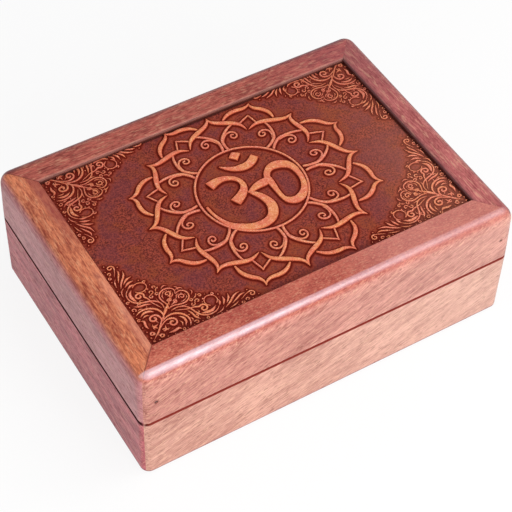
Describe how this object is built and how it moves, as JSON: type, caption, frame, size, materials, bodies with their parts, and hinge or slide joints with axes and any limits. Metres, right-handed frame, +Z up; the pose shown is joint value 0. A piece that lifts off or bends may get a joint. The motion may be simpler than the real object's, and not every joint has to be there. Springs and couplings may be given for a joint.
{
  "type": "tarot card box",
  "caption": "Hinged wooden box for a deck of cards, with mitred walls and a rounded frame round a sunken carved panel in the lid.",
  "frame": {"origin": "middle of the underside of the base", "axes": "+X along the box's length, -Y to the front, +Y to the hinged back, +Z up"},
  "size_m": [0.178, 0.129, 0.0615],
  "materials": {
    "frame_wood": "stained hardwood with a satin polish",
    "panel_wood": "stained hardwood with an engraved ground",
    "board_wood": "stained board, unpolished",
    "felt": "short felt",
    "brass": "plain rolled brass",
    "steel": "plain steel nails"
  },
  "bodies": {
    "base": {"base_front_wall": "frame_wood", "base_back_wall": "frame_wood", "base_left_wall": "frame_wood", "base_right_wall": "frame_wood", "bottom_board": "board_wood", "bottom_nails": "steel", "base_lining": "felt", "left_hinge_base_leaf": "brass", "left_hinge_pin": "brass", "left_hinge_base_screws": "brass", "right_hinge_base_leaf": "brass", "right_hinge_pin": "brass", "right_hinge_base_screws": "brass"},
    "lid": {"lid_front_rail": "frame_wood", "lid_back_rail": "frame_wood", "lid_left_rail": "frame_wood", "lid_right_rail": "frame_wood", "carved_panel": "panel_wood", "lid_corner_brads": "steel", "left_hinge_lid_leaf": "brass", "left_hinge_lid_screws": "brass", "right_hinge_lid_leaf": "brass", "right_hinge_lid_screws": "brass"}
  },
  "joints": [
    {"name": "lid_hinge", "type": "hinge", "parent": "base", "child": "lid", "pos_m": [0, 0.0625, 0.0341], "axis": [-1, 0, 0], "range_deg": [0, 100]}
  ]
}
